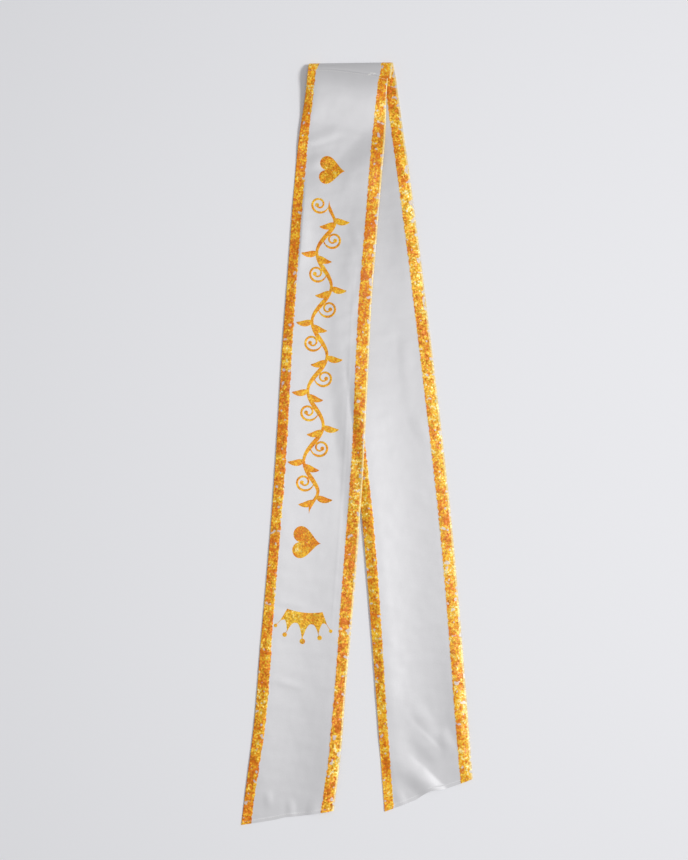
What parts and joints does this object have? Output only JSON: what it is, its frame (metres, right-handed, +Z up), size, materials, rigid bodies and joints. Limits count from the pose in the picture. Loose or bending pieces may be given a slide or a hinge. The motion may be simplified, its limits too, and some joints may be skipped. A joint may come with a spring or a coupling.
{
  "type": "pageant sash",
  "caption": "Long satin sash with gold glitter borders, folded over at the shoulder seam and laid flat with its falls spread.",
  "frame": {"origin": "centre of the bounding box at the surface that the sash lies on", "axes": "+Z up from the surface, +Y along the sash towards its shoulder fold, +X towards the back fall"},
  "size_m": [0.2611, 0.8831, 0.0114],
  "materials": {
    "printed_satin": "white polyester satin, soft sheen, printed gold glitter borders and motifs",
    "plain_satin": "white polyester satin, soft sheen, gold glitter borders that show through from the printed face"
  },
  "bodies": {
    "root": {"front_fall": "printed_satin", "shoulder_bend": "plain_satin", "back_fall": "plain_satin"}
  },
  "joints": []
}
